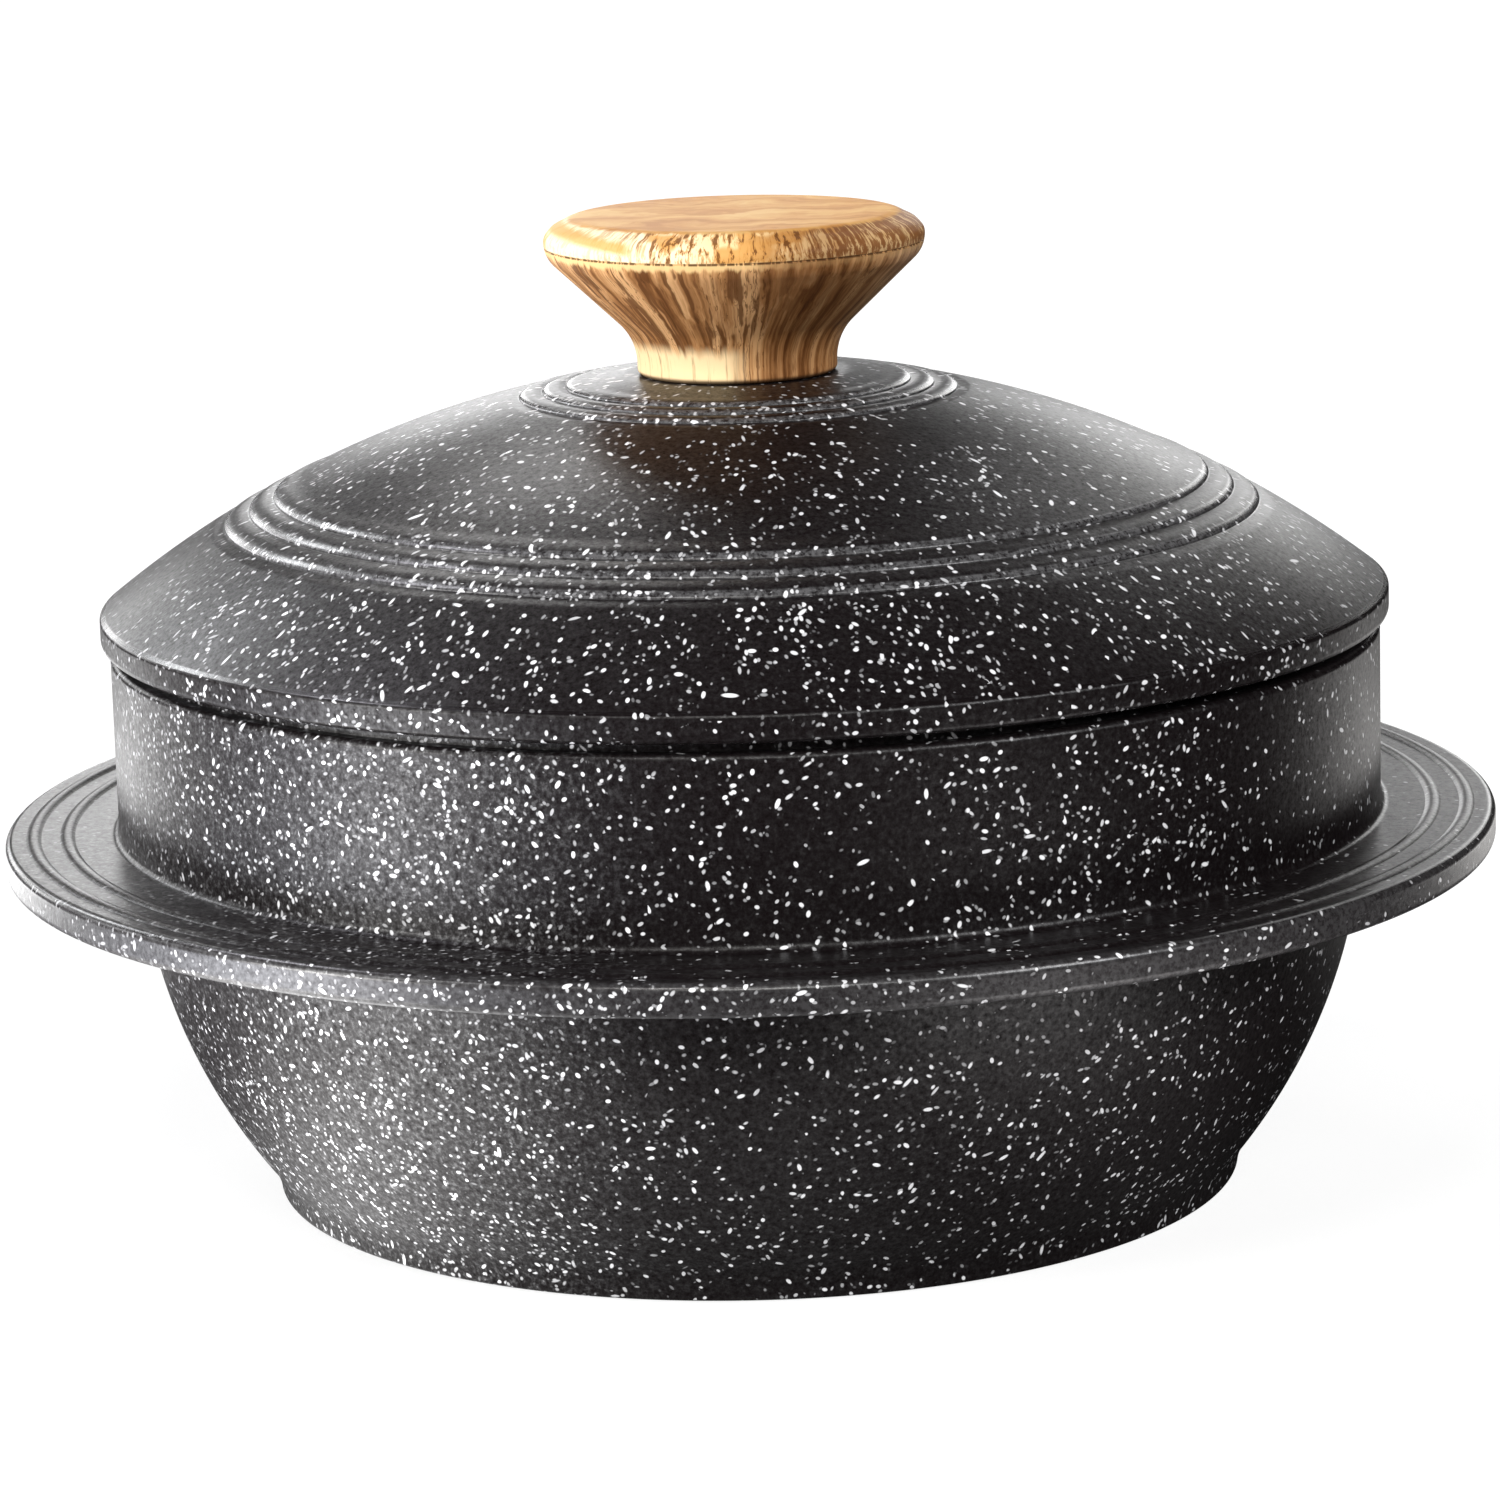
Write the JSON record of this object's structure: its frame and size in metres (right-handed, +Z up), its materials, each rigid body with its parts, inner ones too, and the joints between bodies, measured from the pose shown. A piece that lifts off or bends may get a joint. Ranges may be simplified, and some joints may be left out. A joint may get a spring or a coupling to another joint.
{
  "type": "dolsot",
  "caption": "Round cast cooking pot with a wide ringed brim round its middle, a rounded bowl, a domed ringed lid that lifts off and a flared wood-look knob.",
  "frame": {"origin": "centre of the base, on the plane the pot stands on", "axes": "+Z up along the axis of the turned forms; the part is the same all round, so +X and +Y are free"},
  "size_m": [0.2452, 0.2452, 0.1592],
  "materials": {
    "pot_coating": "satin",
    "lid_coating": "satin",
    "knob_wood_look": "satin",
    "insert_brass": "satin",
    "screw_steel": "satin",
    "washer_steel": "satin"
  },
  "bodies": {
    "root": {"pot_body": "pot_coating", "lid": "lid_coating", "knob": "knob_wood_look", "knob_insert": "insert_brass", "knob_screw": "screw_steel", "screw_washer": "washer_steel"}
  },
  "joints": []
}
